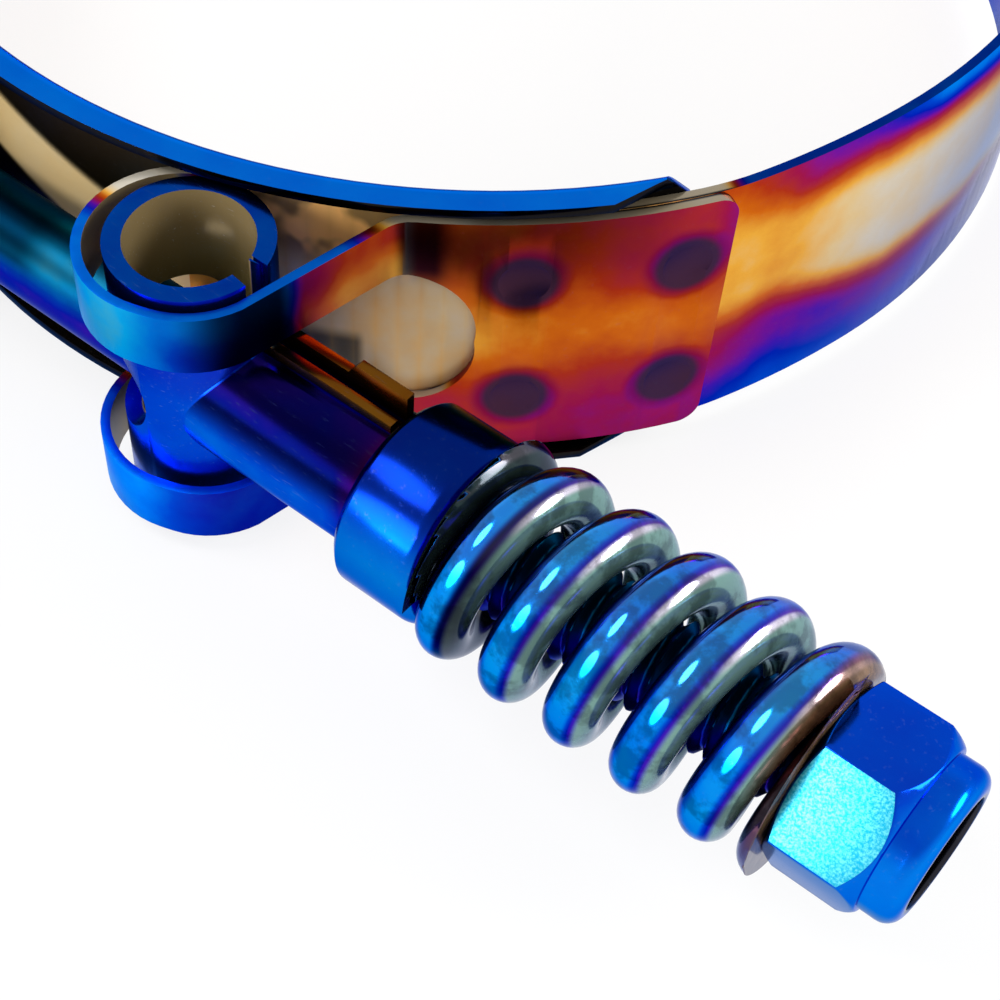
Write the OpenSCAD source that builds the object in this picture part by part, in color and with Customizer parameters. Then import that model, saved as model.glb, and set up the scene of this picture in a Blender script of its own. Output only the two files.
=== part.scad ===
// T bolt clamp with a spring between its trunnion and its lock nut.
// The ring's centre is the origin, its axis is Z and the bolt runs along X
// on the -Y side, with the nut at the +X end. All lengths are in mm.

/* [Hose] */
// Bore of the ring, the outside of the hose
hose_diameter = 80; // [60:1:120]
// Height of the band
band_width = 19; // [14:0.5:25]
// Thickness of the band's sheet
band_thickness = 0.6; // [0.4:0.05:1]
// Half the angle of the band's wide part, over the bridge strip
band_step_angle = 57; // [50:1:70]
// How much tighter the band bends where it steps off the bridge strip
band_step_offset = 20; // [12:1:28]

/* [Bridge strip] */
// Thickness of the strip under the gap
liner_thickness = 0.6; // [0.4:0.05:1]
// Gap between each edge of the band and the flange beside it
liner_side_gap = 0.8; // [0.2:0.05:2]
// Width of each flange, from the strip's inner face
liner_flange = 2.2; // [1:0.1:4]
// Outside bend of the flanges
liner_bend = 1; // [0.7:0.05:2]
// Half the angle that the strip spans
liner_angle = 56.3; // [45:0.1:60]
// Angle where the flanges begin to run out
liner_flange_angle = 49; // [40:1:54]
// Angle where the flanges have run out
liner_taper_angle = 54.4; // [45:0.2:58]
// Corner cut off each end of the strip
liner_corner = 1.9; // [0.5:0.1:3]

/* [Loops] */
// Angle from the gap's middle to the trunnion
trunnion_angle = 18.9; // [14:0.1:30]
// Angle from the gap's middle to the middle of a loop's front
loop_angle = 17.9; // [13:0.1:29]
// Inner radius of the loops
loop_radius = 5.25; // [4:0.05:8]
// Height of the ear above and below the slot
ear_height = 4.1; // [2:0.1:6]
// Radius of the bend where a loop's end lies down on the band
strap_bend = 2; // [1:0.1:4]
// Angle of that bend
strap_bend_angle = 34; // [30:0.5:45]
// Angle of the strap's free end
strap_end_angle = 59.6; // [50:0.2:75]
// Corner radius of the strap's free end
strap_corner = 1.4; // [0.5:0.1:3]
// Gap between the strap and the band under it
strap_gap = 0.05; // [0.02:0.01:0.2]
// Angle of the slot's round end
slot_end_angle = 39.2; // [35:0.2:50]
// Corner radius of the slot's round end
slot_corner = 4.6; // [2:0.1:5.4]

/* [Spot welds] */
// Angle of the first pair of spot welds
weld_angle = 42.8; // [38:0.2:55]
// Angle of the second pair
weld_far_angle = 56; // [48:0.2:60]
// Height of the spot welds above the middle
weld_height = 4.9; // [3:0.1:8]
// Diameter of a spot weld's dimple
weld_diameter = 3.4; // [2:0.1:5]
// Depth of the dimple
weld_depth = 0.2; // [0.05:0.01:0.3]
// Dimple's floor as a share of its diameter
weld_floor_share = 0.7; // [0.4:0.05:0.9]

/* [Trunnion] */
// Diameter of the trunnion's rolled tube
tube_diameter = 9.7; // [6:0.1:12]
// Length of the rolled tube
tube_length = 19.9; // [14:0.1:26]
// Wall of the rolled tube
tube_wall = 1.1; // [0.6:0.05:2]
// Angle of the rolled tube's near edge
tube_near_angle = 8; // [4:1:30]
// Angle of the rolled tube's far edge
tube_far_angle = 13; // [4:1:30]
// How far past the tube's middle the opening for the bolt reaches
tube_window_end = 0.1; // [-1:0.1:2]
// Half the height of that opening
tube_window_half = 3.35; // [3.1:0.05:4]
// Outer diameter of the sleeve along the bolt
sleeve_diameter = 8.4; // [7:0.1:11]
// Wall of the sleeve
sleeve_wall = 1.05; // [0.6:0.05:2]
// Distance of the seam in the sleeve from the bolt's axis, towards the band
seam_place = 1.1; // [0:0.1:1.6]
// Gap between the sleeve's two halves
seam_gap = 0.2; // [0.05:0.05:0.6]
// Distance between the walls that stand up beside the seam
seam_spread = 0.8; // [0.4:0.1:1.2]
// Thickness of each of those walls
seam_wall = 0.6; // [0.4:0.05:1]
// Height of the near wall above the bolt's axis
seam_near_height = 5; // [4.4:0.1:5.2]
// Height of the far wall above the bolt's axis, past the loop
seam_far_height = 6; // [4.4:0.1:7]
// Distance from the trunnion at which the far wall may rise past the loop
seam_rise_start = 10.2; // [9.8:0.1:12]

/* [Spring cap] */
// Distance from the trunnion to the cap's open rim
cap_start = 14.9; // [10:0.1:20]
// Length of the cap
cap_length = 5.9; // [4:0.1:10]
// Outer diameter of the cap
cap_diameter = 11.6; // [9:0.1:13]
// Thickness of the cap's end
cap_end = 1.2; // [0.8:0.1:2]
// Bevel of the cap's open rim
cap_bevel = 0.5; // [0.2:0.1:1]
// Rounding of the cap's closed end
cap_round = 1.2; // [0.4:0.1:2]

/* [Spring] */
// Outer diameter of the spring
spring_diameter = 13.1; // [10:0.1:16]
// Diameter of the spring's wire
wire_diameter = 3.1; // [1.5:0.1:3.4]
// Length of the spring at rest
spring_length = 22.1; // [16:0.1:30]
// Turns between the two closed ends
open_turns = 4.5; // [2.5:0.5:7]
// Wire ground off each end of the spring where its coils are whole
spring_grind = 0.25; // [0.1:0.05:0.6]
// Turns in each closed end, ground away to a point
closed_turns = 0.9; // [0.5:0.05:0.95]
// Angle about the bolt of the spring's first touch on the cap
spring_start_angle = 213; // [0:1:360]

/* [Bolt and nut] */
// Nominal diameter of the bolt
bolt_diameter = 6; // [4:0.5:8]
// Distance of the bolt's end inside the nut's outer face
bolt_inset = 2.8; // [0.4:0.1:5]
// Diameter of the cross bar that is the bolt's head
head_diameter = 9.7; // [6:0.1:12]
// Distance from each end of the bolt's cross bar to the band's edge
head_inset = 0.2; // [0:0.1:2]
// Chamfer of the bolt's end
bolt_chamfer = 0.8; // [0.3:0.1:1.5]
// Width of the nut across its flats
nut_flats = 10; // [8:0.5:13]
// Length of the nut's hexagon
hex_length = 5.4; // [4:0.1:8]
// Length of the nut over its collar
nut_length = 7.4; // [5:0.1:10]
// Diameter of the nut's collar
collar_diameter = 9.3; // [7:0.1:11]
// Rounding of the collar's end
collar_round = 1; // [0.4:0.1:1.5]
// Wall of the collar beside the nylon ring
collar_wall = 0.7; // [0.4:0.1:1]
// Lip that holds the nylon ring in
collar_lip = 0.6; // [0.2:0.05:0.8]
// Length of the chamfer on the hexagon's corners beside the spring
hex_chamfer = 0.5; // [0.2:0.1:1.2]
// Length of the chamfer on the hexagon's corners beside the collar
hex_end_chamfer = 1.1; // [0.2:0.1:2]
// Turn of the hexagon about the bolt
hex_turn = 20; // [0:1:59]
// Hole in the nylon ring once the bolt has stretched it, as a share of the bolt
nylon_share = 1.01; // [1.005:0.005:1.05]

/* [Fits] */
// Gap between the bridge strip and the band over it
liner_gap = 0.02; // [0.01:0.01:0.1]
// Radial clearance of the bolt in the sleeve, the cap and the nut
bolt_clearance = 0.1; // [0.05:0.01:0.4]
// Radial clearance of the cap on the sleeve
cap_clearance = 0.1; // [0.05:0.01:0.3]

/* [Hidden] */
$fn = 96;
overlap = band_thickness / 10;
// arcs in the band's outline turn by at most this angle a step, less on large arcs
arc_turn = 12;
arc_grain = hose_diameter / 10;
hose_radius = hose_diameter / 2;
liner_outer = hose_radius + liner_thickness;
liner_width = band_width + 2 * (liner_side_gap + liner_thickness);
band_wide_radius = liner_outer + liner_gap;
flange_radius = hose_radius + liner_flange;
strap_inner = band_wide_radius + band_thickness + strap_gap;
strap_outer = strap_inner + band_thickness;
loop_outer = loop_radius + band_thickness;
loop_centre_radius = band_wide_radius + loop_outer;
trunnion = at(loop_centre_radius, trunnion_angle);
loop_front = at(loop_centre_radius, loop_angle);
bend_centre = at(strap_outer + strap_bend, strap_bend_angle);
bend_way = bend_centre - trunnion;
bend_normal = atan2(bend_way[1], bend_way[0]) - acos((loop_outer + strap_bend) / norm(bend_way));
slot_half = band_width / 2 - ear_height;
slot_lead = 2 * asin(loop_outer / loop_centre_radius);
step_drop = band_wide_radius - hose_radius;
step_cosine = 1 - (4 * step_drop * band_step_offset - pow(step_drop, 2)) / (2 * pow(band_step_offset, 2));
step_end_angle = band_step_angle + acos(step_cosine);
step_near = at(band_step_offset, band_step_angle);
step_far = at(-band_step_offset, step_end_angle);
step_way = step_near - step_far;
step_meet = atan2(step_way[1], step_way[0]);
head_length = band_width - 2 * head_inset;
bolt_radius = bolt_diameter / 2;
tube_radius = tube_diameter / 2;
sleeve_radius = sleeve_diameter / 2;
sleeve_bore = sleeve_radius - sleeve_wall;
sleeve_end = cap_start + cap_length - cap_end;
cap_radius = cap_diameter / 2;
cap_bore = sleeve_radius + cap_clearance;
wire_radius = wire_diameter / 2;
coil_radius = spring_diameter / 2 - wire_radius;
spring_start = cap_start + cap_length;
coil_start = wire_radius - spring_grind;
coil_pitch = (spring_length - 2 * coil_start) / open_turns;
wire_sides = 16;
wire_steps = 20;
nut_start = spring_start + spring_length;
bolt_length = 2 * trunnion[0] + nut_start + nut_length - bolt_inset;
nut_bore = bolt_radius + bolt_clearance;
nylon_bore = bolt_radius * nylon_share;
collar_bore = collar_diameter / 2 - collar_wall;
// every node of the part

function at(radius, angle) = [radius * sin(angle), -radius * cos(angle)];

// points along an arc, without its last one
function arc(centre, radius, start, end) =
    let (steps = max(1, ceil(abs(end - start) * (radius + arc_grain) / arc_grain / arc_turn)))
    [for (k = [0:steps - 1]) centre + radius * direction(start + (end - start) * k / steps)];

function direction(angle) = [cos(angle), sin(angle)];

// an arc about the ring's centre, its angles counted from -Y
function ring_arc(radius, start, end) = arc([0, 0], radius, start - 90, end - 90);

// one face of the strip from the ring's back to the strap's end:
// face 1 is the ring's outside, face 0 its inside
function band_face(face) =
    let (out = face * band_thickness)
    let (in = band_thickness - out)
    concat(
        ring_arc(hose_radius + out, 180, step_end_angle),
        arc(step_far, hose_radius + band_step_offset + out, step_end_angle - 90, step_meet),
        arc(step_near, band_wide_radius - band_step_offset + out, step_meet, band_step_angle - 90),
        ring_arc(band_wide_radius + out, band_step_angle, loop_angle),
        arc(loop_front, loop_radius + in, loop_angle + 90, loop_angle + 270),
        ring_arc(loop_centre_radius + loop_radius + in, loop_angle, trunnion_angle),
        arc(trunnion, loop_radius + in, trunnion_angle - 90, bend_normal),
        arc(bend_centre, strap_bend + out, bend_normal + 180, strap_bend_angle + 90),
        ring_arc(strap_inner + in, strap_bend_angle, strap_end_angle),
        [(strap_inner + in) * direction(strap_end_angle - 90)]
    );

// a list in the opposite order
function turned(list) = [for (k = [len(list) - 1:-1:0]) list[k]];

// a wedge of the plane between two angles, counted from +X
module wedge(radius, start, end) {
    reach = 2 * radius;
    polygon([[0, 0], reach * direction(start), reach * direction(end)]);
}

// puts its child on the strap's face at an angle, looking outwards
module on_strap(angle, height) {
    rotate([0, 0, angle - 90])
        translate([strap_inner, 0, height])
            rotate([0, 90, 0])
                children();
}

// the slot through the loop's front, its outer side and the strap
module slot() {
    floor_radius = strap_inner - strap_gap / 2;
    side_angle = slot_end_angle - 2 * asin(slot_corner / 2 / strap_outer);
    reach = loop_centre_radius + loop_outer;
    linear_extrude(height = 2 * slot_half, center = true)
        polygon(concat(
            ring_arc(floor_radius, loop_angle - slot_lead, side_angle),
            [at(floor_radius, side_angle)],
            [at(2 * reach, side_angle), at(2 * reach, loop_angle - slot_lead)]
        ));
    difference() {
        rotate([0, 0, side_angle - 90])
            translate([strap_inner - slot_corner / 2, 0, 0])
                rotate([0, 90, 0])
                    linear_extrude(height = slot_corner)
                        for (side = [-1, 1])
                            translate([side * (slot_half - slot_corner), 0])
                                circle(r = slot_corner);
        cylinder(r = floor_radius, h = band_width, center = true);
    }
}

// what is cut off one corner of the strap's free end
module strap_corner_cut() {
    cut = strap_corner + overlap;
    on_strap(strap_end_angle, band_width / 2)
        translate([0, 0, -2 / 3 * strap_gap])
            linear_extrude(height = 2 * band_thickness)
                difference() {
                    translate([-overlap, -strap_corner])
                        square([cut, cut]);
                    translate([strap_corner, -strap_corner])
                        circle(r = strap_corner);
                }
}

// what joins the strap to the band under it
module weld_pads() {
    for (angle = [weld_angle, weld_far_angle])
        for (side = [-1, 1])
            on_strap(angle, side * weld_height)
                translate([0, 0, -2 * strap_gap])
                    cylinder(d = weld_diameter, h = band_thickness / 2 + 2 * strap_gap);
}

module weld_dimples() {
    for (angle = [weld_angle, weld_far_angle])
        for (side = [-1, 1])
            on_strap(angle, side * weld_height)
                translate([0, 0, band_thickness - weld_depth])
                    cylinder(d1 = weld_diameter * weld_floor_share, d2 = weld_diameter, h = weld_depth + overlap);
}

module band_half() {
    difference() {
        union() {
            linear_extrude(height = band_width, center = true)
                polygon(concat(band_face(0), turned(band_face(1))));
            weld_pads();
        }
        slot();
        weld_dimples();
        strap_corner_cut();
        mirror([0, 0, 1])
            strap_corner_cut();
    }
}

module band() {
    color([0.85, 0.6, 0.25]) {
        band_half();
        mirror([1, 0, 0])
            band_half();
    }
}

// the corner that the flanges lose towards the strip's end
module flange_runout() {
    start = at(flange_radius, liner_flange_angle);
    finish = at(liner_outer, liner_taper_angle);
    past_end = 2 * liner_angle - liner_taper_angle;
    linear_extrude(height = liner_width + 2 * overlap, center = true)
        polygon([
            start,
            start * flange_radius / liner_outer,
            at(flange_radius * flange_radius / liner_outer, liner_angle),
            at(flange_radius * flange_radius / liner_outer, past_end),
            at(liner_outer, past_end),
            finish
        ]);
}

module liner_corner_cut() {
    rotate([0, 0, liner_angle - 90])
        translate([liner_outer, 0, liner_width / 2])
            rotate([0, 90, 0])
                linear_extrude(height = 3 * liner_thickness, center = true)
                    polygon([
                        [-overlap, -liner_corner - overlap],
                        [liner_corner + overlap, overlap],
                        [-overlap, overlap]
                    ]);
}

module liner_half_profile() {
    translate([hose_radius, -overlap])
        square([liner_thickness, liner_width / 2 - liner_bend + overlap]);
    translate([hose_radius + liner_bend, liner_width / 2 - liner_thickness])
        square([liner_flange - liner_bend, liner_thickness]);
    translate([hose_radius + liner_bend, liner_width / 2 - liner_bend])
        intersection() {
            difference() {
                circle(r = liner_bend);
                circle(r = liner_bend - liner_thickness);
            }
            translate([-liner_bend, 0])
                square([liner_bend, liner_bend]);
        }
}

module liner() {
    color([0.1, 0.35, 0.8])
        difference() {
            rotate([0, 0, -90 - liner_angle])
                rotate_extrude(angle = 2 * liner_angle) {
                    liner_half_profile();
                    mirror([0, 1])
                        liner_half_profile();
                }
            for (way = [0, 1])
                mirror([way, 0, 0]) {
                    flange_runout();
                    for (side = [0, 1])
                        mirror([0, 0, side])
                            liner_corner_cut();
                }
        }
}

// turns X into the bolt's axis and starts it at the trunnion
module on_bolt(distance) {
    translate([trunnion[0] + distance, trunnion[1], 0])
        rotate([0, 90, 0])
            children();
}

module t_bolt() {
    color([0.3, 0.35, 0.6]) {
        translate([-trunnion[0], trunnion[1], 0])
            cylinder(d = head_diameter, h = head_length, center = true);
        on_bolt(-2 * trunnion[0]) {
            cylinder(r = bolt_radius, h = bolt_length - bolt_chamfer);
            translate([0, 0, bolt_length - bolt_chamfer])
                cylinder(r1 = bolt_radius, r2 = bolt_radius - bolt_chamfer, h = bolt_chamfer);
        }
    }
}

// the opening in the rolled tube's back, with a round end towards each side
module tube_window() {
    rotate([90, 0, 0])
        linear_extrude(height = tube_diameter + 2 * overlap, center = true) {
            translate([tube_window_end - tube_window_half, 0])
                circle(r = tube_window_half);
            translate([-tube_diameter, -tube_window_half])
                square([tube_diameter + tube_window_end - tube_window_half, 2 * tube_window_half]);
        }
}

// a wall along the seam, with its near face at a distance from the bolt's axis
module seam_wall_at(place, height) {
    low = sleeve_bore + bolt_clearance;
    under_loop = min(height, slot_half - 3 * bolt_clearance);
    finish = cap_start - cap_bevel;
    translate([0, place + seam_wall, 0])
        rotate([90, 0, 0])
            linear_extrude(height = seam_wall)
                polygon([
                    [tube_radius - tube_wall, low],
                    [finish, low],
                    [finish, height - bolt_clearance],
                    [seam_rise_start + seam_wall, height],
                    [seam_rise_start, under_loop],
                    [tube_radius - tube_wall, under_loop]
                ]);
}

module trunnion_sleeve() {
    color([0.1, 0.3, 0.85])
        translate([trunnion[0], trunnion[1], 0])
            difference() {
                union() {
                    difference() {
                        cylinder(r = tube_radius, h = tube_length, center = true);
                        linear_extrude(height = tube_length + 2 * overlap, center = true)
                            wedge(tube_radius, -tube_near_angle, tube_far_angle);
                    }
                    rotate([0, 90, 0])
                        cylinder(r = sleeve_radius, h = sleeve_end);
                    for (side = [0, 1])
                        mirror([0, 0, side]) {
                            seam_wall_at(seam_place - seam_spread / 2 - seam_wall, seam_near_height);
                            seam_wall_at(seam_place + seam_spread / 2, seam_far_height);
                        }
                }
                cylinder(r = tube_radius - tube_wall, h = tube_length + 2 * overlap, center = true);
                tube_window();
                rotate([0, 90, 0])
                    cylinder(r = sleeve_bore, h = sleeve_end + overlap);
                translate([0, seam_place - seam_gap / 2, -tube_length])
                    cube([sleeve_end + overlap, seam_gap, 2 * tube_length]);
            }
}

module spring_cap() {
    color([0.1, 0.45, 0.85])
        on_bolt(cap_start)
            difference() {
                rotate_extrude()
                    union() {
                        polygon([
                            [0, 0],
                            [cap_radius - cap_bevel, 0],
                            [cap_radius, cap_bevel],
                            [cap_radius, cap_length - cap_round],
                            [cap_radius - cap_round, cap_length - cap_round],
                            [cap_radius - cap_round, cap_length],
                            [0, cap_length]
                        ]);
                        intersection() {
                            translate([cap_radius - cap_round, cap_length - cap_round])
                                circle(r = cap_round);
                            square([cap_radius, cap_length]);
                        }
                    }
                translate([0, 0, -overlap])
                    cylinder(r = cap_bore, h = cap_length - cap_end + overlap);
                cylinder(r = bolt_radius + 2 * bolt_clearance, h = cap_length + overlap);
            }
}

// distance of the wire's middle from the cap after a number of turns
function coil_way(turn) =
    turn < 0 ? coil_start + wire_diameter * turn
    : turn > open_turns ? spring_length - coil_start + wire_diameter * (turn - open_turns)
    : coil_start + coil_pitch * turn;

// half the angle of the wire's section that is left on one side of a ground face
function kept_angle(distance) = asin(max(-1, min(cos(180 / wire_sides), distance / wire_radius)));

// the wire's section at a number of turns, flat where an end is ground
function wire_section(turn) =
    let (way = coil_way(turn))
    let (low = kept_angle(way))
    let (high = kept_angle(spring_length - way))
    let (spin = direction(spring_start_angle + 90 - 360 * turn))
    let (last = wire_sides / 2 - 1)
    let (outer = [for (k = [0:last]) -low + (low + high) * k / last])
    let (inner = [for (k = [0:last]) high - (low + high) * k / last])
    concat(
        [for (side = outer) ring_point(spin, coil_radius + wire_radius * cos(side), way + wire_radius * sin(side))],
        [for (side = inner) ring_point(spin, coil_radius - wire_radius * cos(side), way + wire_radius * sin(side))]
    );

function ring_point(spin, radius, height) = [radius * spin[0], radius * spin[1], height];

module spring() {
    steps = round((open_turns + 2 * closed_turns) * wire_steps);
    points = [
        for (k = [0:steps])
            each wire_section(k * (open_turns + 2 * closed_turns) / steps - closed_turns)
    ];
    sides = [
        for (k = [0:steps - 1])
            for (j = [0:wire_sides - 1])
                let (next = (j + 1) % wire_sides)
                let (near = k * wire_sides)
                let (far = near + wire_sides)
                each [[near + j, near + next, far + next], [near + j, far + next, far + j]]
    ];
    tip = [for (j = [wire_sides - 1:-1:0]) j];
    tail = [for (j = [0:wire_sides - 1]) steps * wire_sides + j];
    color([0.05, 0.35, 0.75])
        on_bolt(spring_start)
            polyhedron(points = points, faces = concat([tip], sides, [tail]), convexity = 10);
}

// the nut's solid shape before its holes
module nut_blank() {
    corner = nut_flats / 2 / cos(30);
    face_radius = nut_flats / 2 - bolt_clearance;
    past_corner = corner + bolt_clearance;
    intersection() {
        rotate([0, 0, hex_turn])
            linear_extrude(height = hex_length)
                circle(r = corner, $fn = 6);
        union() {
            cylinder(r1 = face_radius, r2 = past_corner, h = hex_chamfer);
            translate([0, 0, hex_chamfer])
                cylinder(r = past_corner, h = hex_length - hex_chamfer - hex_end_chamfer);
            translate([0, 0, hex_length - hex_end_chamfer])
                cylinder(r1 = past_corner, r2 = face_radius, h = hex_end_chamfer);
        }
    }
    rotate_extrude() {
        square([collar_diameter / 2, nut_length - collar_round]);
        square([collar_diameter / 2 - collar_round, nut_length]);
        intersection() {
            translate([collar_diameter / 2 - collar_round, nut_length - collar_round])
                circle(r = collar_round);
            square([collar_diameter / 2, nut_length]);
        }
    }
}

module lock_nut() {
    color([0.1, 0.4, 0.75])
        on_bolt(nut_start)
            difference() {
                nut_blank();
                translate([0, 0, -overlap])
                    cylinder(r = nut_bore, h = nut_length + 2 * overlap);
                translate([0, 0, hex_length])
                    cylinder(r = collar_bore, h = nut_length - hex_length - collar_lip);
                translate([0, 0, nut_length - collar_lip - overlap])
                    cylinder(r = collar_bore - collar_lip, h = collar_lip + 2 * overlap);
            }
}

module nut_lock_ring() {
    color([0.12, 0.12, 0.14])
        on_bolt(nut_start + hex_length)
            difference() {
                cylinder(r = collar_bore, h = nut_length - hex_length - collar_lip);
                translate([0, 0, -overlap])
                    cylinder(r = nylon_bore, h = nut_length);
            }
}

band();
liner();
t_bolt();
trunnion_sleeve();
spring_cap();
spring();
lock_nut();
nut_lock_ring();
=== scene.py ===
"""Looks for the T bolt clamp: heat-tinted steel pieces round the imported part.

Lengths are written in millimetres and turned into metres with MM. The ring's
centre is the origin, its axis is Z and the bolt lies along X on the -Y side.
Inside the materials, places are in millimetres, and in degrees round the ring
from the middle of its gap.
"""

import math

import bmesh
import bpy
from mathutils import Matrix, Vector


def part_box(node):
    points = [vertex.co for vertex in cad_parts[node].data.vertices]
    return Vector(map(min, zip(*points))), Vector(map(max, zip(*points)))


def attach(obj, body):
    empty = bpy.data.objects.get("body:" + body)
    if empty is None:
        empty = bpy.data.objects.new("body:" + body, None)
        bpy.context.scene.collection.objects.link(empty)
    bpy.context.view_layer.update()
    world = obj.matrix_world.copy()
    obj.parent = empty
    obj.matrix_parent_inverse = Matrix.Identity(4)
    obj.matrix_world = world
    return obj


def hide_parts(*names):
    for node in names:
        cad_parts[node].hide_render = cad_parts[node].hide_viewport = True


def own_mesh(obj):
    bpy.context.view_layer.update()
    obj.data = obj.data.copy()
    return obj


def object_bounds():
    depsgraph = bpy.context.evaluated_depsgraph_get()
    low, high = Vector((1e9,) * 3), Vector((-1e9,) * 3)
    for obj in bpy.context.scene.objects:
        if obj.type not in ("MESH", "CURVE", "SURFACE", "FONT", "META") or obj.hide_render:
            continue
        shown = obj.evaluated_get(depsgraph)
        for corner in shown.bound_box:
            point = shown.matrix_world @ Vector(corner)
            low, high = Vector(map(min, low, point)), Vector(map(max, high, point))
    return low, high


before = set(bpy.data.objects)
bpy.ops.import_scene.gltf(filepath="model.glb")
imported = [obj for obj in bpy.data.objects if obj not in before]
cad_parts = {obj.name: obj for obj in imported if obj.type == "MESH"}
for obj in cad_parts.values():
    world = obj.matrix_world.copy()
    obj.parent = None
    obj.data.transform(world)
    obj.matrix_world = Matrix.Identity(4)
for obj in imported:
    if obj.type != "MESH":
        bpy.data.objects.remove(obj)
cad_low, cad_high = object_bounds()

MM = 0.001

# ---------------------------------------------------------------- sizes
_, BAND_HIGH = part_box("band")
BOLT_LOW, BOLT_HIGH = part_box("t_bolt")
CAP_LOW, CAP_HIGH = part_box("spring_cap")
SPRING_LOW, SPRING_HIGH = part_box("spring")

AXIS_Y = (CAP_LOW.y + CAP_HIGH.y) / 2
BAR_RADIUS = (BOLT_HIGH.y - BOLT_LOW.y) / 2
HEAD_X = BOLT_LOW.x + BAR_RADIUS
TRUNNION_X = -HEAD_X

SHEET = 0.6 * MM
HOSE_RADIUS = BAND_HIGH.y - SHEET
UNDER_STRAP = 1.27 * MM  # the bridge strip, the band and their clearance
STRAP_INNER = HOSE_RADIUS + UNDER_STRAP
STRAP_DEGREE = math.radians(1) * (STRAP_INNER + SHEET)  # length of a degree on its outside

# places round the band, in degrees from the middle of its gap
LOOP_END = 33.0
SLOT_END = 36.0
RING_STEP = 57.0
STRAP_TIP = 59.0
WELD_ANGLES = (42.8, 56.0)
WELD_HEIGHT = 4.9 * MM

BAR_EDGE = 0.5 * MM
BAR_SIDES = 64
BOLT_RADIUS = 3.0 * MM
BOLT_CHAMFER = 0.8 * MM
BOLT_SIDES = 40
SHANK_START = HEAD_X + 1.0 * MM
SHANK_END = HEAD_X + 29.0 * MM
THREAD_PITCH = 1.0 * MM
THREAD_DEPTH = 0.6 * MM
THREAD_STEPS = 14
RUN_OUT = (1.5 * MM, 1.0 * MM)  # last plain ring and first thread ring before the shank's end
FLANK_SLOPE, ROOT_WIDTH = 2.6, 0.25

WIRE_RADIUS = 1.55 * MM
WIRE_SIDES = 32
STEPS_PER_TURN = 72
COIL_RADIUS = (SPRING_HIGH.z - SPRING_LOW.z) / 2 - WIRE_RADIUS
COIL_START = 1.3 * MM
OPEN_TURNS = 4.5
CLOSED_TURNS = 0.9
SPRING_START_ANGLE = 213.0

SAME_POINT = 0.0001 * MM
CAD_POINT = 0.002 * MM  # points of the CAD mesh nearer than this are one
FLAT_ANGLE, SHARP_ANGLE, SMOOTH_ANGLE = 0.3, 28, 32
ROUNDING_STEPS = 2
EDGE = 0.08 * MM
NYLON_EDGE = 0.03 * MM


# ---------------------------------------------------------------- meshes
def add_object(name, data):
    piece = bpy.data.objects.new(name, data)
    bpy.context.scene.collection.objects.link(piece)
    return piece


def smooth(mesh, sharp_angle):
    mesh.shade_smooth()
    mesh.set_sharp_from_angle(angle=math.radians(sharp_angle))


def mesh_from(name, points, faces, sharp_angle=40):
    """A closed mesh with outward normals, smooth where its faces meet at less than the angle."""
    mesh = bpy.data.meshes.new(name)
    mesh.from_pydata([tuple(p) for p in points], [], [tuple(f) for f in faces])
    work = bmesh.new()
    work.from_mesh(mesh)
    bmesh.ops.remove_doubles(work, verts=work.verts, dist=SAME_POINT)
    bmesh.ops.dissolve_degenerate(work, edges=work.edges, dist=SAME_POINT / 10)
    bmesh.ops.recalc_face_normals(work, faces=work.faces)
    work.to_mesh(mesh)
    work.free()
    smooth(mesh, sharp_angle)
    return mesh


def rounded_copy(node, edge_width):
    """A copy of a CAD node with its sharp edges rounded off, which stands for that node."""
    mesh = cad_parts[node].data.copy()
    mesh.name = node + "_finished"
    mesh.materials.clear()
    work = bmesh.new()
    work.from_mesh(mesh)
    bmesh.ops.remove_doubles(work, verts=work.verts, dist=CAD_POINT)
    bmesh.ops.dissolve_limit(
        work,
        angle_limit=math.radians(FLAT_ANGLE),
        verts=work.verts,
        edges=work.edges,
        delimit=set(),
    )
    sharp = [
        e
        for e in work.edges
        if len(e.link_faces) == 2 and e.calc_face_angle(0) > math.radians(SHARP_ANGLE)
    ]
    bmesh.ops.bevel(
        work,
        geom=sharp,
        offset=edge_width,
        offset_type="OFFSET",
        segments=ROUNDING_STEPS,
        profile=0.5,
        affect="EDGES",
        clamp_overlap=True,
        loop_slide=True,
    )
    bmesh.ops.triangulate(work, faces=[f for f in work.faces if len(f.verts) > 4])
    work.to_mesh(mesh)
    work.free()
    if "custom_normal" in mesh.attributes:
        mesh.attributes.remove(mesh.attributes["custom_normal"])
    smooth(mesh, SMOOTH_ANGLE)
    piece = add_object(node + "_finished", mesh)
    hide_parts(node)
    return piece


def skin(rings, sides, first=0):
    """Faces over a row of rings of points, each joined to the next, with closed ends."""
    faces = []
    for ring in range(rings - 1):
        start = first + ring * sides
        for k in range(sides):
            a, b = start + k, start + (k + 1) % sides
            faces.append((a, b, b + sides, a + sides))
    last = first + (rings - 1) * sides
    faces.append(tuple(range(first, first + sides))[::-1])
    faces.append(tuple(range(last, last + sides)))
    return faces


def circle(sides):
    return [2 * math.pi * k / sides for k in range(sides)]


def turned_bar(profile, sides, centre):
    """Points and faces of a bar turned about Z. The profile has (height, radius) pairs."""
    points = [
        Vector((radius * math.cos(turn), radius * math.sin(turn), height)) + centre
        for height, radius in profile
        for turn in circle(sides)
    ]
    return points, skin(len(profile), sides)


def limited(share):
    return min(1.0, max(0.0, share))


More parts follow.
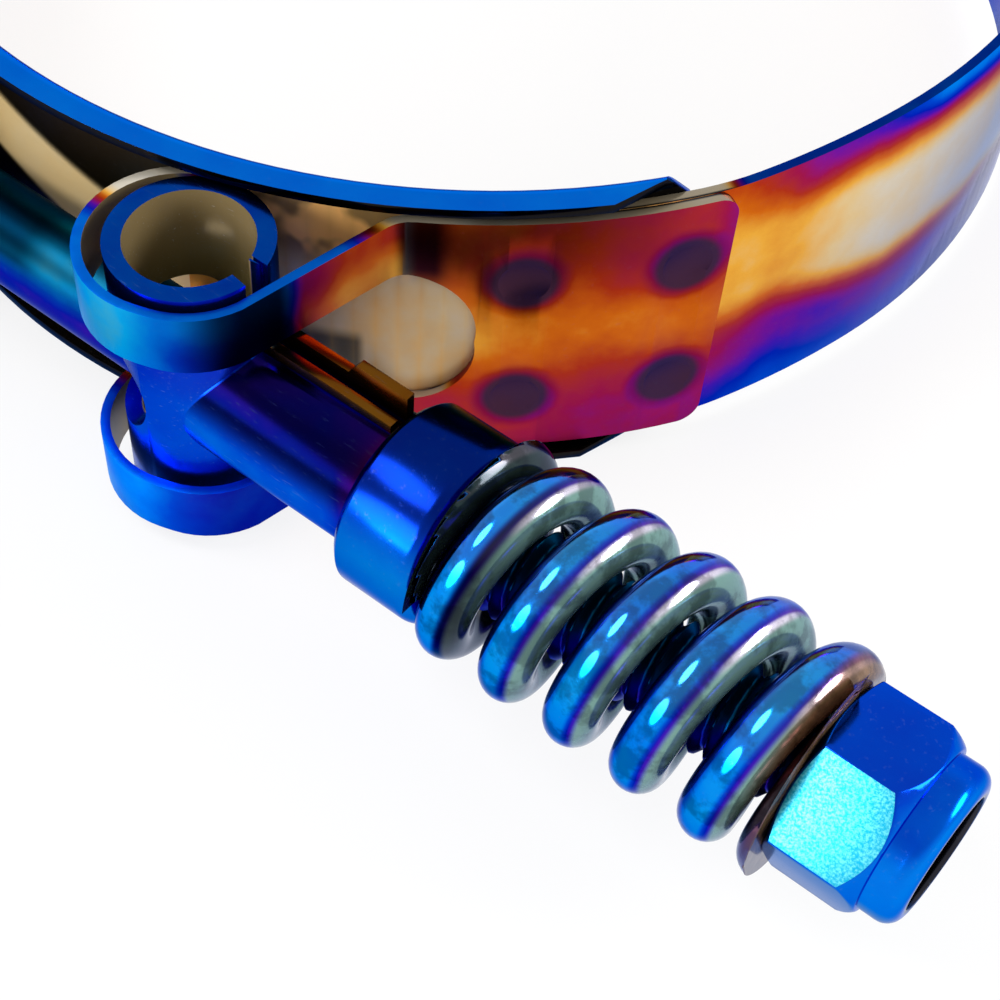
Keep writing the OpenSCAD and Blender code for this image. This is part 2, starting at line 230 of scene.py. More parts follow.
def thread_radius(x, turn_share):
    """The bolt's radius at a place along it and a share of a turn round it."""
    phase = ((x - SHANK_END) / THREAD_PITCH - turn_share) % 1.0
    crest = limited((0.5 - abs(phase - 0.5)) * FLANK_SLOPE - ROOT_WIDTH)
    lead_in = limited((x - SHANK_END) / (2 * THREAD_PITCH) + 0.5)
    radius = BOLT_RADIUS - THREAD_DEPTH * lead_in * (1 - crest)
    return min(radius, BOLT_RADIUS - max(0.0, BOLT_CHAMFER - (BOLT_HIGH.x - x)))


def make_bolt():
    """The T bolt: a cross bar with rounded ends, a smooth shank and a rolled thread."""
    half, corner = BOLT_HIGH.z, 0.3 * BAR_EDGE
    upper_end = [
        (half - BAR_EDGE, BAR_RADIUS),
        (half - corner, BAR_RADIUS - corner),
        (half, BAR_RADIUS - BAR_EDGE),
        (half, SAME_POINT),
    ]
    lower_end = [
        (-half, SAME_POINT),
        (-half, BAR_RADIUS - BAR_EDGE),
        (-half + corner, BAR_RADIUS - corner),
        (-half + BAR_EDGE, BAR_RADIUS),
    ]
    points, faces = turned_bar(lower_end + upper_end, BAR_SIDES, Vector((HEAD_X, AXIS_Y, 0)))
    last_plain, first_cut = (SHANK_END - way for way in RUN_OUT)
    step = THREAD_PITCH / THREAD_STEPS
    cut_rings = math.ceil((BOLT_HIGH.x - step / 2 - first_cut) / step)
    rings = [SHANK_START, last_plain]
    rings += [first_cut + k * step for k in range(cut_rings)] + [BOLT_HIGH.x]
    faces += skin(len(rings), BOLT_SIDES, len(points))
    for x in rings:
        for k, turn in enumerate(circle(BOLT_SIDES)):
            radius = thread_radius(x, k / BOLT_SIDES)
            points.append((x, AXIS_Y + radius * math.cos(turn), radius * math.sin(turn)))
    return mesh_from("t_bolt_finished", points, faces)


def coil_way(turn):
    """Distance of the wire's middle from the cap after a number of turns."""
    length = SPRING_HIGH.x - SPRING_LOW.x
    pitch = (length - 2 * COIL_START) / OPEN_TURNS
    if turn < 0:
        return COIL_START + 2 * WIRE_RADIUS * turn
    if turn > OPEN_TURNS:
        return length - COIL_START + 2 * WIRE_RADIUS * (turn - OPEN_TURNS)
    return COIL_START + pitch * turn


def make_spring():
    """The coil spring with closed, ground ends."""
    length = SPRING_HIGH.x - SPRING_LOW.x
    steps = round((OPEN_TURNS + 2 * CLOSED_TURNS) * STEPS_PER_TURN)
    points = []
    for k in range(steps + 1):
        turn = k / STEPS_PER_TURN - CLOSED_TURNS
        way = coil_way(turn)
        angle = math.radians(SPRING_START_ANGLE - 360 * turn)
        for side in circle(WIRE_SIDES):
            radius = COIL_RADIUS + WIRE_RADIUS * math.cos(side)
            x = SPRING_LOW.x + min(max(way + WIRE_RADIUS * math.sin(side), 0), length)
            points.append((x, AXIS_Y + radius * math.cos(angle), radius * math.sin(angle)))
    return mesh_from("spring_finished", points, skin(steps + 1, WIRE_SIDES), sharp_angle=50)


# ---------------------------------------------------------------- node trees
class Tree:
    """Short calls for building a node tree."""

    def __init__(self, tree):
        self.tree = tree

    def node(self, kind, **values):
        made = self.tree.nodes.new(kind)
        for key, value in values.items():
            setattr(made, key, value)
        return made

    def feed(self, socket, value):
        if isinstance(value, bpy.types.NodeSocket):
            self.tree.links.new(value, socket)
        else:
            socket.default_value = value

    def math(self, operation, *values):
        made = self.node("ShaderNodeMath", operation=operation)
        for socket, value in zip(made.inputs, values):
            self.feed(socket, value)
        return made.outputs[0]

    def chain(self, operation, first, others):
        for other in others:
            first = self.math(operation, first, other)
        return first

    def times(self, first, *others):
        return self.chain("MULTIPLY", first, others)

    def plus(self, first, *others):
        return self.chain("ADD", first, others)

    def highest(self, first, *others):
        return self.chain("MAXIMUM", first, others)

    def minus(self, a, b):
        return self.math("SUBTRACT", a, b)

    def magnitude(self, value):
        """The value without its sign."""
        return self.math("ABSOLUTE", value)

    def outside(self, mask):
        """The mask turned over."""
        return self.minus(1.0, mask)

    def raised(self, base, share, mask):
        """The base and a share of the mask on top; a negative share lowers it."""
        return self.math("MULTIPLY_ADD", mask, share, base)

    def span(self, value, low, high, to=(0.0, 1.0)):
        """Maps a value from low and high to two others, eased at both ends."""
        made = self.node("ShaderNodeMapRange", interpolation_type="SMOOTHSTEP")
        for socket, number in zip(made.inputs, (value, low, high, *to)):
            self.feed(socket, number)
        return made.outputs[0]

    def mix(self, share, a, b):
        """A colour between a and b."""
        made = self.node("ShaderNodeMix", data_type="RGBA")
        for index, value in ((0, share), (6, a), (7, b)):
            if isinstance(value, tuple) and len(value) == 3:
                value = (*value, 1)
            self.feed(made.inputs[index], value)
        return made.outputs[2]

    def blend(self, share, a, b):
        """A number between a and b."""
        made = self.node("ShaderNodeMix", data_type="FLOAT")
        for index, value in ((0, share), (2, a), (3, b)):
            self.feed(made.inputs[index], value)
        return made.outputs[0]

    def noise(self, vector, scale, detail, roughness=0.5):
        made = self.node("ShaderNodeTexNoise")
        self.feed(made.inputs["Vector"], vector)
        self.feed(made.inputs["Scale"], scale)
        self.feed(made.inputs["Detail"], detail)
        self.feed(made.inputs["Roughness"], roughness)
        return made.outputs["Fac"]

    def split(self, vector):
        made = self.node("ShaderNodeSeparateXYZ")
        self.feed(made.inputs[0], vector)
        return made.outputs

    def scale(self, vector, factor):
        made = self.node("ShaderNodeVectorMath", operation="SCALE")
        self.feed(made.inputs[0], vector)
        self.feed(made.inputs["Scale"], factor)
        return made.outputs[0]

    def length(self, a, b):
        """The distance that two lengths at a right angle span."""
        return self.math("SQRT", self.plus(self.times(a, a), self.times(b, b)))

    def ramp(self, value, stops):
        made = self.node("ShaderNodeValToRGB")
        self.feed(made.inputs[0], value)
        elements = made.color_ramp.elements
        while len(elements) > 1:
            elements.remove(elements[-1])
        elements[0].position, elements[0].color = stops[0][0], (*stops[0][1], 1)
        for place, colour in stops[1:]:
            elements.new(place).color = (*colour, 1)
        return made.outputs[0]

    def group(self, tree, **values):
        made = self.node("ShaderNodeGroup", node_tree=tree)
        for key, value in values.items():
            self.feed(made.inputs[key.replace("_", " ")], value)
        return made.outputs


def new_group(name, inputs, outputs):
    """A builder, the inputs and the outputs of a group, from lists of (name, kind, default)."""
    tree = bpy.data.node_groups.new(name, "ShaderNodeTree")
    for label, kind, default in inputs:
        socket = tree.interface.new_socket(label, in_out="INPUT", socket_type="NodeSocket" + kind)
        if default is not None:
            socket.default_value = default
    for label, kind in outputs:
        tree.interface.new_socket(label, in_out="OUTPUT", socket_type="NodeSocket" + kind)
    build = Tree(tree)
    return build, build.node("NodeGroupInput").outputs, build.node("NodeGroupOutput").inputs


# ---------------------------------------------------------------- shared groups
EVEN_WAY = (1.0, 1.0, 1.0)
TINTS = [
    (0.00, (0.70, 0.64, 0.52)),
    (0.08, (0.78, 0.56, 0.26)),
    (0.15, (0.83, 0.40, 0.04)),
    (0.24, (0.62, 0.13, 0.003)),
    (0.32, (0.42, 0.03, 0.005)),
    (0.40, (0.34, 0.008, 0.06)),
    (0.47, (0.24, 0.008, 0.24)),
    (0.54, (0.08, 0.007, 0.42)),
    (0.62, (0.006, 0.012, 0.44)),
    (0.70, (0.001, 0.06, 0.60)),
    (0.78, (0.001, 0.20, 0.80)),
    (0.86, (0.006, 0.40, 0.82)),
    (0.93, (0.10, 0.42, 0.40)),
    (1.00, (0.30, 0.40, 0.32)),
]


def make_heat_tint():
    """Heat, from 0 for pale straw to 1 for the grey-green past blue, to the oxide's colour."""
    build, given, out = new_group("heat tint", [("Heat", "Float", 0.0)], [("Color", "Color")])
    build.feed(out["Color"], build.ramp(given["Heat"], TINTS))
    return build.tree


def make_place():
    """Where a point lies on the clamp, and which way its surface faces."""
    build, _, out = new_group(
        "place on the clamp",
        [],
        [
            ("Point", "Vector"),
            ("Angle", "Float"),
            ("Radius", "Float"),
            ("Height", "Float"),
            ("Along", "Float"),
            ("From bolt", "Float"),
            ("From pivot", "Float"),
            ("Level", "Float"),
            ("Facing out", "Float"),
            ("Facing", "Vector"),
        ],
    )
    coordinates = build.node("ShaderNodeTexCoord").outputs
    point, facing = build.scale(coordinates["Object"], 1 / MM), coordinates["Normal"]
    x, y, z = build.split(point)
    facing_x, facing_y, facing_z = build.split(facing)
    across = build.magnitude(x)
    off_axis = build.minus(y, AXIS_Y / MM)
    from_pivot = build.minus(across, TRUNNION_X / MM)
    turn = build.math("ARCTAN2", across, build.times(y, -1.0))
    # whether the surface lies level, and whether it faces away from the bar in its loop
    level = build.times(facing_z, build.math("SIGN", z))
    facing_across = build.times(facing_x, build.math("SIGN", x))
    facing_out = build.plus(
        build.times(facing_across, from_pivot), build.times(facing_y, off_axis)
    )
    values = {
        "Point": point,
        "Angle": build.math("DEGREES", turn),
        "Radius": build.length(x, y),
        "Height": z,
        "Along": x,
        "From bolt": build.length(off_axis, z),
        "From pivot": build.length(from_pivot, off_axis),
        "Level": level,
        "Facing out": facing_out,
        "Facing": facing,
    }
    for name, value in values.items():
        build.feed(out[name], value)
    return build.tree


def make_wear():
    """Fine scratches, cloudy patches and specks, as masks from 0 to 1."""
    build, given, out = new_group(
        "handling wear",
        [("Vector", "Vector", None), ("Scratch way", "Vector", EVEN_WAY)],
        [("Scratches", "Float"), ("Clouds", "Float"), ("Specks", "Float")],
    )
    stretched = build.node("ShaderNodeVectorMath", operation="MULTIPLY")
    build.feed(stretched.inputs[0], given["Vector"])
    build.feed(stretched.inputs[1], given["Scratch way"])
    fine = build.noise(stretched.outputs[0], scale=3.0, detail=5.0, roughness=0.6)
    coarse = build.noise(given["Vector"], scale=0.22, detail=4.0, roughness=0.55)
    dots = build.noise(given["Vector"], scale=7.0, detail=4.0, roughness=0.7)
    build.feed(out["Scratches"], build.span(fine, 0.58, 0.74))
    build.feed(out["Clouds"], coarse)
    build.feed(out["Specks"], build.span(dots, 0.40, 0.64))
    return build.tree


HEAT_TINT = make_heat_tint()
PLACE = make_place()
WEAR = make_wear()


# ---------------------------------------------------------------- finishes
# A span's first two numbers say where a tint starts and where it is full: in
# millimetres, in degrees for an angle, or from -1 to 1 for the way a surface faces.


def new_material(name):
    material = bpy.data.materials.new(name)
    material.use_nodes = True
    return material, Tree(material.node_tree), material.node_tree.nodes["Principled BSDF"]


def read_place(build):
    """The place group's values, by name."""
    return {socket.name: socket for socket in build.group(PLACE)}


def read_wear(build, place, scratch_way=EVEN_WAY):
    return build.group(WEAR, Vector=place["Point"], Scratch_way=scratch_way)


def add_relief(build, shader, height, depth, strength=0.3):
    """Fine relief of a depth in millimetres."""
    relief = build.node("ShaderNodeBump")
    relief.inputs["Strength"].default_value = strength
    relief.inputs["Distance"].default_value = depth * MM
    build.feed(relief.inputs["Height"], height)
    build.feed(shader.inputs["Normal"], relief.outputs[0])


SCRATCH_BLUE = (0.25, 0.40, 0.60)
SCRATCH_PALENESS = 0.3
SCRATCH_DEPTH = 0.3
CLOUD_ROUGHNESS, SCRATCH_ROUGHNESS = 0.10, 0.08
EDGE_ON_TINT = (0.4, 0.5, 0.8, 1)


def finish_steel(
    build,
    shader,
    heat,
    place,
    shade=None,
    overlay=(),
    roughness=0.08,
    metallic=1.0,
    scratch_way=EVEN_WAY,
    speck=0.08,
    wander=0.08,
    bump=0.010,
):
    """Turns a heat value into tinted, lightly worn steel.

    Shade darkens the tint, and an overlay is a (mask, colour) pair laid over it.
    Speck is the strength of the scratches, wander how far the heat drifts, and
    bump the depth of the relief.
    """
    wear = read_wear(build, place, scratch_way)
    drift = build.times(build.minus(wear["Clouds"], 0.5), 2 * wander)
    colour = build.group(HEAT_TINT, Heat=build.plus(heat, drift))["Color"]
    for mask, laid_on in overlay:
        colour = build.mix(mask, colour, laid_on)
    paler = build.mix(SCRATCH_PALENESS, colour, SCRATCH_BLUE)
    colour = build.mix(build.times(wear["Scratches"], speck), colour, paler)
    if shade is not None:
        colour = build.scale(colour, shade)
    build.feed(shader.inputs["Base Color"], colour)
    build.feed(shader.inputs["Metallic"], metallic)
    shader.inputs["Specular Tint"].default_value = EDGE_ON_TINT
    rough = build.raised(roughness, CLOUD_ROUGHNESS, wear["Clouds"])
    rough = build.raised(rough, SCRATCH_ROUGHNESS, wear["Scratches"])
    build.feed(shader.inputs["Roughness"], rough)
    surface = build.raised(wear["Clouds"], -SCRATCH_DEPTH, wear["Scratches"])
    add_relief(build, shader, surface, bump)


def tint_ring(build, angle, height):
    """The open ring: cream to gold along its middle, blue towards its edges."""
    upper_width, lower_width = 7.5, 11.5
    centre = build.span(angle, STRAP_TIP, 80, to=(3.5, 0.8))
    above = build.math("DIVIDE", build.minus(height, centre), upper_width)
    below = build.math("DIVIDE", build.minus(centre, height), lower_width)
    below = build.minus(below, build.span(angle, 60, 68, to=(0.10, 0.0)))
    above_gold = build.minus(above, build.span(angle, 62, 75, to=(0.0, 0.25)))
    upper = build.times(
        build.span(above_gold, 0.15, 0.85), build.span(angle, STRAP_TIP, 72, to=(0.13, 0.42))
    )
    rim = build.times(build.span(above, 0.8, 1.15), build.span(angle, 70, 84, to=(0.0, 0.34)))
    lower = build.times(
        build.span(below, 0.16, 0.58), build.span(angle, STRAP_TIP, 78, to=(0.27, 0.46))
    )
    foot = build.span(below, 0.60, 1.05, to=(0.0, 0.20))
    middle = build.span(angle, 66, 80, to=(0.150, 0.02))
    return build.plus(middle, upper, rim, lower, foot)


def tint_strap(build, angle, height, halo):
    """The strap: orange, dark red above and magenta below, purple at its end."""
    hottest = 0.43
    high = build.span(height, 0.5, 6.5, to=(0.0, 0.10))
    low = build.span(height, 0.5, -6.5, to=(0.0, 0.16))
    end_rise = build.span(build.magnitude(height), 2, 8, to=(0.0, 0.08))
    far_end = build.times(build.span(angle, STRAP_TIP - 2.0, STRAP_TIP + 0.6), end_rise)
    near_end = build.span(angle, 41, 50, to=(0.20, 0.25))
    heat = build.plus(build.plus(low, high), build.plus(far_end, near_end))
    return build.math("MINIMUM", build.raised(heat, 0.09, halo), hottest)


def tint_loop(build, past_bar, up_the_leg, height):
    """The loops: blue round the bar, turning to gold where they lie down on the band."""
    bend = build.span(up_the_leg, 0.9, 2.4, to=(0.68, 0.32))
    leg = build.minus(bend, build.span(up_the_leg, 2.6, 5.4, to=(0.0, 0.10)))
    leg = build.plus(leg, build.span(height, 6.0, 9.0, to=(-0.04, 0.10)))
    front = build.span(past_bar, -0.5, 3.0, to=(0.87, 0.77))
    front = build.minus(front, build.span(height, 0, -5, to=(0, 0.08)))
    return build.blend(build.span(past_bar, 2.0, 4.0), front, leg)


def tint_sheared_edge(build, angle, past_bar, up_the_leg):
    """The sheared edges: blue on the loops and past the strap, nearly bare elsewhere."""
    near_bar = build.span(up_the_leg, -2.5, 1.0, to=(0.75, 0.0))
    along_leg = build.span(up_the_leg, 5.0, 9.0, to=(0.75, 0.02))
    near_bar = build.blend(build.span(past_bar, 4.0, 5.5), near_bar, along_leg)
    return build.blend(build.span(angle, STRAP_TIP - 0.5, STRAP_TIP + 2.0), near_bar, 0.70)


WELD_GREY = (0.06, 0.04, 0.075)
WELD_DISC = (2.3, 1.7)  # from where its grey starts to where it is full
WELD_RING = (1.8, 3.1)


def find_welds(build, angle, height):
    """Masks of the spot welds' discs and of the ring round each of them."""
    disc = halo = 0.0
    for weld_angle in WELD_ANGLES:
        arc = build.times(build.minus(angle, weld_angle), STRAP_DEGREE / MM)
        rise = build.minus(build.magnitude(height), WELD_HEIGHT / MM)
        from_weld = build.length(arc, rise)
        disc = build.plus(disc, build.span(from_weld, *WELD_DISC))
        halo = build.plus(halo, build.span(from_weld, *WELD_RING, to=(1.0, 0.0)))
    return disc, halo


# shaded and lit copies of bronze, mixed at random as painted glints on the covered ring's edge
SHADED_BRONZE, LIT_BRONZE = (0.24, 0.14, 0.045), (1.0, 0.52, 0.15)
# painted shadow beside the slot
SLOT_SHADOW_OLIVE = (0.06, 0.045, 0.018)
LOOP_LINING = (0.28, 0.20, 0.08)
# painted shade in the thin gap between two layers
SEAM_SHADE_BLACK = (0.015, 0.012, 0.01)
UNDER_STRAP_HEAT = 0.08


def make_band_steel():
    """The band: open ring, strap with its spot welds, loops and sheared edges."""
    material, build, shader = new_material("heat tinted band")
    place = read_place(build)
    angle, radius, height = place["Angle"], place["Radius"], place["Height"]
    from_middle = build.magnitude(height)
    past_bar = build.minus(build.magnitude(place["Along"]), TRUNNION_X / MM)
    up_the_leg = build.minus(build.split(place["Point"])[1], AXIS_Y / MM)
    strap_inner = STRAP_INNER / MM

    # which part of the band a point is on
    under = build.span(angle, RING_STEP + 1.0, RING_STEP)
    on_strap = build.span(radius, strap_inner - 0.06, strap_inner - 0.02)
    off_band = build.span(radius, strap_inner + 0.03, strap_inner + 0.63)
    on_loop = build.times(build.span(angle, LOOP_END + 1.5, LOOP_END), off_band)
    edge = build.span(build.magnitude(place["Level"]), 0.6, 0.85)
    on_face = build.outside(edge)
    disc, halo = (build.times(mask, on_strap) for mask in find_welds(build, angle, height))

    # the heat of each part
    ring_heat = build.blend(under, tint_ring(build, angle, height), UNDER_STRAP_HEAT)
    heat = build.blend(on_strap, ring_heat, tint_strap(build, angle, height, halo))
    heat = build.blend(on_loop, heat, tint_loop(build, past_bar, up_the_leg, height))
    edge_heat = tint_sheared_edge(build, angle, past_bar, up_the_leg)
    heat = build.blend(edge, heat, edge_heat)

    # painted shade for dark reflections: each loop's dark turn towards its strap, and the dark
    # bend above the slot
    facing_out = build.span(place["Facing out"], -0.5, 0.5)
    turn = build.times(build.span(past_bar, 2.8, 5.2), build.span(up_the_leg, 2.2, 0.5))
    turn = build.times(turn, build.span(height, -2, 2, to=(0.35, 1.0)), facing_out, on_loop)
    bend = build.times(
        build.span(angle, LOOP_END - 0.6, LOOP_END + 0.6),
        build.span(angle, SLOT_END + 1.6, SLOT_END - 0.4),
    )
    bend = build.times(bend, build.span(height, 3.5, 6.0))
    bend = build.times(bend, build.span(radius, strap_inner + 0.03, strap_inner + 0.33))
    turn = build.times(build.highest(turn, bend), on_face)

    # darker round the welds, at the strap's top and on its edges; brighter on the loops' front, a
    # painted highlight
    strap_top = build.span(angle, STRAP_TIP - 2.0, STRAP_TIP - 7.0)
    strap_top = build.times(build.span(height, 3.0, 7.0), strap_top, on_strap)
    strap_edge = build.times(edge, build.span(angle, SLOT_END, SLOT_END + 4.0))
    # painted highlight: the loops' front lightened up to a third
    painted_front_highlight = build.times(on_loop, build.span(past_bar, 3.0, -0.5, to=(1.0, 1.3)))
    dim = build.raised(1.0, -0.45, halo)
    dim = build.times(dim, build.raised(1.0, -0.3, strap_top))
    # painted shade at the loops' turn and at the bend above the slot
    dim = build.times(dim, build.raised(1.0, -0.92, turn))
    dim = build.times(dim, build.highest(1.0, painted_front_highlight))
    dim = build.times(dim, build.raised(1.0, -0.6, strap_edge))

    # the covered ring: cream, with a bronze edge mixed at random between shaded and lit bronze as
    # painted glints, and an olive patch of painted shadow beside the slot
    covered = build.times(under, build.outside(build.highest(on_loop, edge, on_strap)))
    bronze = build.times(covered, build.span(from_middle, 3.5, 6.5))
    # painted shadow: olive below the middle of the band, beside the slot
    olive_shade = build.times(build.span(height, -0.3, -1.6), build.span(angle, 30.2, 29.2))
    olive_shade = build.times(covered, olive_shade)
    # painted glints: noise that mixes shaded and lit bronze
    painted_glint_noise = build.span(build.noise(place["Point"], scale=0.35, detail=2.0), 0.42, 0.58)

    # the loops' bare lining, and painted shade along the seam between two layers
    lining = build.times(on_loop, build.outside(facing_out), on_face)
    from_gap = build.magnitude(build.minus(radius, strap_inner - 0.03))
    seam_shade = build.times(
        build.span(from_gap, 0.22, 0.08),
        build.span(angle, LOOP_END + 1.0, LOOP_END + 3.0),
        build.span(angle, STRAP_TIP + 1.0, STRAP_TIP),
    )
    bare_edge = build.times(edge, build.span(edge_heat, 0.3, 0.1, to=(0.0, 0.8)))
    dull = build.highest(build.times(build.highest(bare_edge, lining), 0.7), covered)

    finish_steel(
        build,
        shader,
        heat,
        place,
        shade=dim,
        overlay=(
            (build.times(disc, 0.85), WELD_GREY),
            (bronze, build.mix(painted_glint_noise, SHADED_BRONZE, LIT_BRONZE)),
            (olive_shade, SLOT_SHADOW_OLIVE),
            (lining, LOOP_LINING),
            (build.times(seam_shade, edge), SEAM_SHADE_BLACK),
        ),
        roughness=build.raised(0.08, 0.24, build.highest(on_strap, covered)),
        metallic=build.raised(1.0, -0.8, dull),
    )
    return material


# painted shade on the web beside the bolt
WEB_SHADE_OLIVE = (0.035, 0.022, 0.006)
# painted shade in the bends
BEND_SHADE_BLACK = (0.012, 0.010, 0.008)
WEB_HEAT, FLANGE_HEAT = 0.08, 0.75


def make_liner_steel():
    """The bridge strip: blue flanges, painted shade in its dark bends, and a cream web beside the
    bolt with olive bands of painted shade.
    """
    material, build, shader = new_material("heat tinted bridge strip")
    place = read_place(build)
    height = build.magnitude(place["Height"])
    on_flange = build.span(place["Level"], 0.5, 0.75)
    off_flange = build.outside(on_flange)
    # painted shade: the web darkened where it bends into the flanges
    bend = build.times(off_flange, build.span(height, 8.6, 9.4))
    # the front of the web beside the bolt; behind and at its ends it is tinted like the ring
    _, facing_across, _ = build.split(place["Facing"])
    front = build.times(
        build.span(facing_across, 0.2, -0.2),
        build.span(place["Radius"], 45, 43),
        build.span(build.magnitude(place["Along"]), 13.0, 10.0),
    )
    heat = build.blend(front, build.span(height, 2.5, 8.5, to=(0.06, 0.50)), WEB_HEAT)
    heat = build.blend(on_flange, heat, FLANGE_HEAT)
    # cream and olive meet along two slanting lines; the olive bands are painted shade
    web = build.times(front, off_flange)
    slope = build.raised(build.plus(height, 1.05), 0.33, place["Along"])
    olive_shade = build.highest(build.span(slope, 6.0, 7.0), build.span(slope, 1.7, 0.9))
    olive_shade = build.times(olive_shade, web)
    cream = build.minus(web, olive_shade)
    finish_steel(
        build,
        shader,
        heat,
        place,
        overlay=((olive_shade, WEB_SHADE_OLIVE), (bend, BEND_SHADE_BLACK)),
        roughness=build.raised(0.08, 0.22, web),
        metallic=build.raised(1.0, -0.6, cream),
        wander=0.03,
    )
    return material


LOW_TUBE_LINING, HIGH_TUBE_LINING = (0.26, 0.20, 0.07), (0.30, 0.22, 0.10)
SEAM_WALL_HEAT, TUBE_END_HEAT = 0.20, 0.715


def make_trunnion_steel():
    """The trunnion: a blue tube lined in bronze, and an indigo sleeve with bronze walls, darkened
    on top by painted shade.
    """
    material, build, shader = new_material("heat tinted trunnion")
    place = read_place(build)
    along, height = place["Along"], place["Height"]
    from_bolt, from_pivot = place["From bolt"], place["From pivot"]
    cap_start, bar_radius = CAP_LOW.x / MM, BAR_RADIUS / MM
    sleeve_start = TRUNNION_X / MM + 5.0
    # the sleeve: dark indigo on top, brighter blue below
    heat = build.span(height, 0.0, 3.6, to=(0.72, 0.60))
    near_cap = build.span(along, cap_start - 2.0, cap_start, to=(0.0, -0.10))
    heat = build.plus(heat, near_cap)
    # the walls along the seam
    in_sleeve = build.span(along, sleeve_start - 0.2, sleeve_start + 0.2)
    on_wall = build.times(in_sleeve, build.span(from_bolt, 4.28, 4.4))
    heat = build.blend(on_wall, heat, SEAM_WALL_HEAT)
    # the tube: blue outside and on its ends, bronze inside
    on_tube = build.span(from_pivot, bar_radius + 0.15, bar_radius + 0.05)
    heat = build.blend(on_tube, heat, build.span(height, 0, 5, to=(0.70, 0.65)))
    tube_end = build.times(build.span(place["Level"], 0.6, 0.85), on_tube)
    heat = build.blend(tube_end, heat, TUBE_END_HEAT)
    inside = build.span(from_pivot, bar_radius - 0.95, bar_radius - 1.05)
    inside = build.times(inside, build.outside(tube_end))
    lining = build.mix(build.span(height, 3.0, 8.5), LOW_TUBE_LINING, HIGH_TUBE_LINING)
    # painted shade: the sleeve is dark but for its lower side and a line along its top. Besides,
    # the tube's ends are darker by half and the walls a little darker
    top_line = build.span(height, 3.6, 4.6, to=(0.0, 0.18))
    bright_part = build.highest(build.span(height, 2.4, 0.4), top_line)
    bright_part = build.highest(on_tube, bright_part)
    dim = build.raised(0.08, 0.92, bright_part)
    dim = build.times(dim, build.raised(1.0, -0.5, tube_end))
    dim = build.times(dim, build.raised(1.0, -0.1, on_wall))
    finish_steel(
        build,
        shader,
        heat,
        place,
        shade=dim,
        overlay=((inside, lining),),
        roughness=0.16,
        metallic=build.raised(1.0, -0.55, inside),
        scratch_way=(0.3, 2.2, 2.2),
        speck=0.5,
        wander=0.05,
    )
    return material


def make_cap_steel():
    """The cap: bright blue below, dark blue on top, where painted shade darkens it."""
    material, build, shader = new_material("heat tinted cap")
    place = read_place(build)
    heat = build.span(place["Height"], 1.0, 5.0, to=(0.775, 0.66))
    # painted shade on the cap's top
    dim = build.span(place["Height"], 3.2, 5.2, to=(0.8, 0.32))
    finish_steel(
        build, shader, heat, place, shade=dim, roughness=0.13, speck=0.3, wander=0.04, bump=0.02
    )
    return material


WIRE_GREEN = (0.17, 0.32, 0.27)
WIRE_HIGHLIGHT_LILAC = (0.80, 0.72, 0.85)
WIRE_BRONZE = (0.30, 0.12, 0.03)


def make_spring_steel():
    """Wire tinted blue on its outer side, with a violet line and grey-green beyond it, a painted
    highlight streak, patches of painted dark reflection, and painted shade beside the cap.
    """
    material, build, shader = new_material("heat tinted spring wire")
    place = read_place(build)
    along, from_bolt = place["Along"], place["From bolt"]
    spring_start, spring_end = SPRING_LOW.x / MM, SPRING_HIGH.x / MM
    coil_radius = COIL_RADIUS / MM
    facing_along, facing_across, facing_up = build.split(place["Facing"])
    rise = build.span(facing_along, -0.95, -0.40, to=(0.60, 0.80))
    fall = build.span(facing_along, 0.15, 0.50, to=(0.0, 0.22))
    heat = build.minus(rise, fall)
    heat = build.minus(heat, build.span(facing_across, 0.0, 0.7, to=(0.0, 0.08)))
    # grey-green on the side towards the nut and inside the coil
    side = build.span(facing_along, 0.46, 0.68)
    inner = build.span(from_bolt, coil_radius - 0.3, coil_radius - 1.0)
    green = build.highest(side, inner)
    # painted highlight: a pale lilac streak on the upper faces of the coils
    painted_streak_highlight = build.times(
        build.span(facing_up, 0.55, 0.75),
        build.span(facing_across, -0.40, -0.15),
        build.span(facing_along, 0.44, 0.56),
        build.span(facing_along, 0.78, 0.62),
    )
    # painted shade beside the cap, bronze on the ground end beside the nut
    near_cap = build.span(along, spring_start + 4.2, spring_start + 3.0)
    near_cap = build.times(near_cap, build.span(facing_along, 0.1, 0.4))
    near_nut = build.span(along, spring_end - 1.6, spring_end - 0.8, to=(0.0, 0.8))
    # painted dark reflections: random darker patches on the wire
    painted_reflection_patches = build.noise(place["Point"], scale=0.5, detail=4.0, roughness=0.6)
    painted_reflection_patches = build.span(painted_reflection_patches, 0.42, 0.58, to=(0.52, 1.0))
    finish_steel(
        build,
        shader,
        heat,
        place,
        shade=build.times(painted_reflection_patches, build.raised(1.0, -0.9, near_cap)),
        overlay=(
            (green, WIRE_GREEN),
            (build.times(painted_streak_highlight, 0.85), WIRE_HIGHLIGHT_LILAC),
            (near_nut, WIRE_BRONZE),
        ),
        roughness=0.07,
        metallic=build.raised(1.0, -0.5, green),
        speck=0.15,
        wander=0.07,
        bump=0.02,
    )
    build.feed(shader.inputs["Coat Weight"], build.span(facing_up, 0.60, 0.80, to=(0.0, 0.5)))
    shader.inputs["Coat Roughness"].default_value = 0.06
    return material


# the face that is frosted and carries the painted highlight
FROSTED_GLARE_FACE_ANGLES = (-50, 40)
DEEP_GLARE, PALE_GLARE = (0.01, 0.36, 0.56), (0.12, 0.60, 0.72)
NUT_UNDERSIDE = (0.16, 0.36, 0.46)
# painted shade in the bore
BORE_SHADE_BLACK = (0.03, 0.03, 0.04)


